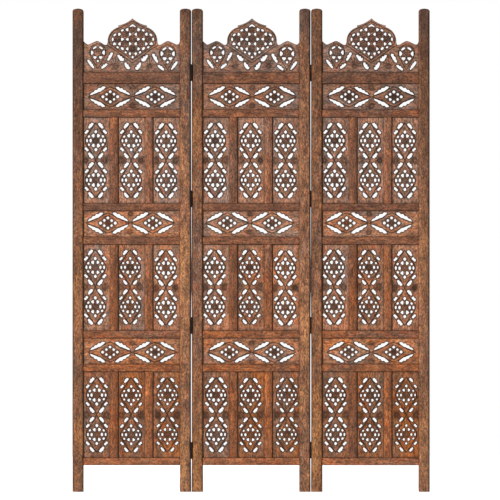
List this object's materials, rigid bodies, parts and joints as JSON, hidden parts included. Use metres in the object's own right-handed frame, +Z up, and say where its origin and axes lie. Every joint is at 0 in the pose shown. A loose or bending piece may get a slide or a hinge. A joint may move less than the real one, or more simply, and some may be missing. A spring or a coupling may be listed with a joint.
{
  "type": "folding carved jali screen",
  "caption": "Tall folding room screen of pierced and carved wooden panels in rail and post frames, with domed crests and iron hinges.",
  "frame": {"origin": "on the floor, midway along the flat screen and through its thickness", "axes": "+Z up, the carved front faces -Y, +X to the right along the flat screen"},
  "size_m": [1.2212, 0.0382, 1.652],
  "materials": {
    "post_wood": "satin",
    "rail_wood": "satin",
    "board_wood": "satin",
    "iron": "black"
  },
  "bodies": {
    "centre_panel": {"centre_panel_boards_1": "board_wood", "centre_panel_boards_2": "board_wood", "centre_panel_boards_3": "board_wood", "centre_panel_crest": "board_wood", "centre_panel_frieze_1": "board_wood", "centre_panel_frieze_2": "board_wood", "centre_panel_frieze_3": "board_wood", "centre_panel_left_post": "post_wood", "centre_panel_muntins": "rail_wood", "centre_panel_rail_1": "rail_wood", "centre_panel_rail_2": "rail_wood", "centre_panel_rail_3": "rail_wood", "centre_panel_rail_4": "rail_wood", "centre_panel_rail_5": "rail_wood", "centre_panel_rail_6": "rail_wood", "centre_panel_rail_7": "rail_wood", "centre_panel_right_post": "post_wood", "left_hinge_centre_leaves": "iron", "left_hinge_pins": "iron", "right_hinge_centre_leaves": "iron", "right_hinge_pins": "iron"},
    "left_panel": {"left_hinge_outer_leaves": "iron", "left_panel_boards_1": "board_wood", "left_panel_boards_2": "board_wood", "left_panel_boards_3": "board_wood", "left_panel_crest": "board_wood", "left_panel_frieze_1": "board_wood", "left_panel_frieze_2": "board_wood", "left_panel_frieze_3": "board_wood", "left_panel_left_post": "post_wood", "left_panel_muntins": "rail_wood", "left_panel_rail_1": "rail_wood", "left_panel_rail_2": "rail_wood", "left_panel_rail_3": "rail_wood", "left_panel_rail_4": "rail_wood", "left_panel_rail_5": "rail_wood", "left_panel_rail_6": "rail_wood", "left_panel_rail_7": "rail_wood", "left_panel_right_post": "post_wood"},
    "right_panel": {"right_hinge_outer_leaves": "iron", "right_panel_boards_1": "board_wood", "right_panel_boards_2": "board_wood", "right_panel_boards_3": "board_wood", "right_panel_crest": "board_wood", "right_panel_frieze_1": "board_wood", "right_panel_frieze_2": "board_wood", "right_panel_frieze_3": "board_wood", "right_panel_left_post": "post_wood", "right_panel_muntins": "rail_wood", "right_panel_rail_1": "rail_wood", "right_panel_rail_2": "rail_wood", "right_panel_rail_3": "rail_wood", "right_panel_rail_4": "rail_wood", "right_panel_rail_5": "rail_wood", "right_panel_rail_6": "rail_wood", "right_panel_rail_7": "rail_wood", "right_panel_right_post": "post_wood"}
  },
  "joints": [
    {"name": "left_hinge", "type": "hinge", "parent": "centre_panel", "child": "left_panel", "pos_m": [-0.2042, -0.0158, 0.78], "axis": [0, 0, 1], "range_deg": [0, 180]},
    {"name": "right_hinge", "type": "hinge", "parent": "centre_panel", "child": "right_panel", "pos_m": [0.2042, 0.0158, 0.78], "axis": [0, 0, 1], "range_deg": [0, 180]}
  ]
}
